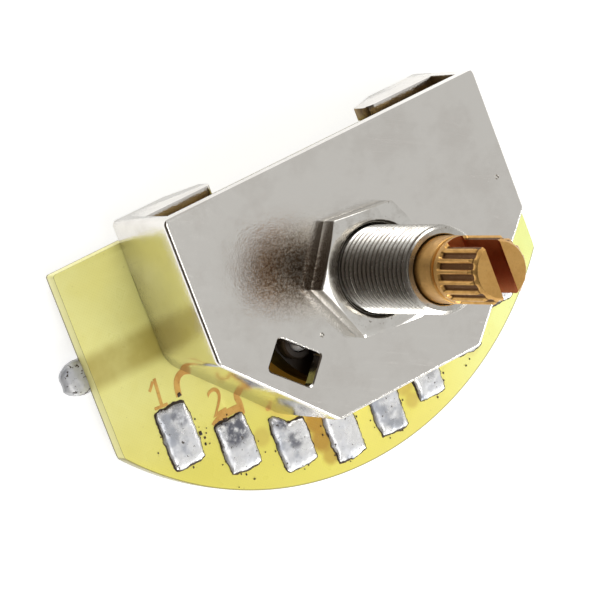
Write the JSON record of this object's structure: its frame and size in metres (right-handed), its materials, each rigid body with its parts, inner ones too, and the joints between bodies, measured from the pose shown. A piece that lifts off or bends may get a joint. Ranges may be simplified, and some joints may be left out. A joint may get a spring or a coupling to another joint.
{
  "type": "rotary selector switch",
  "caption": "Panel-mount rotary selector switch: folded nickel cup on a translucent circuit board, threaded bushing with hex nut and a splined, slotted brass shaft.",
  "frame": {"origin": "on the shaft's axis at the rear face that the switch stands on", "axes": "+Z along the shaft towards its tip, +X along the plate's straight upper edge away from the ground lug, +Y towards that edge"},
  "size_m": [0.0501, 0.0313, 0.0353],
  "materials": {
    "nickel_plate": "bright nickel plate with a fine orange peel",
    "turned_nickel": "turned and nickel plated",
    "brass": "turned, bare",
    "black_moulding": "matt moulding",
    "bright_steel": "bright",
    "spring_bronze": "silver plated spring bronze",
    "copper": "etched copper",
    "board_glass_epoxy": "translucent glass epoxy, uncoated",
    "solder": "hand-soldered, uneven, with flux specks"
  },
  "bodies": {
    "frame": {"frame_cup": "nickel_plate", "threaded_bushing": "turned_nickel", "hex_nut": "turned_nickel", "circuit_board": "board_glass_epoxy", "common_track": "copper", "contact_track_1": "copper", "contact_track_2": "copper", "contact_track_3": "copper", "contact_track_4": "copper", "contact_track_5": "copper", "ground_lug": "solder", "rear_bearing": "brass", "solder_pad_1": "solder", "solder_pad_2": "solder", "solder_pad_3": "solder", "solder_pad_4": "solder", "solder_pad_5": "solder", "solder_pad_6": "solder", "solder_pad_7": "solder", "solder_pad_8": "solder"},
    "turning": {"shaft": "brass", "rotor": "black_moulding", "inner_wiper": "spring_bronze", "outer_wiper": "spring_bronze", "retaining_ring": "bright_steel", "detent_spring": "bright_steel"},
    "ball": {"detent_ball": "bright_steel"}
  },
  "joints": [
    {"name": "shaft_turn", "type": "hinge", "parent": "frame", "child": "turning", "pos_m": [0, 0, 0.01279], "axis": [0, 0, 1], "range_deg": [-120, 0]},
    {"name": "ball_press", "type": "slide", "parent": "turning", "child": "ball", "axis": [0, 0, -1], "range_m": [0, 0.0003], "stiffness_N_per_m": 600, "springref_m": -0.0015, "deforming": ["detent_spring"]}
  ]
}
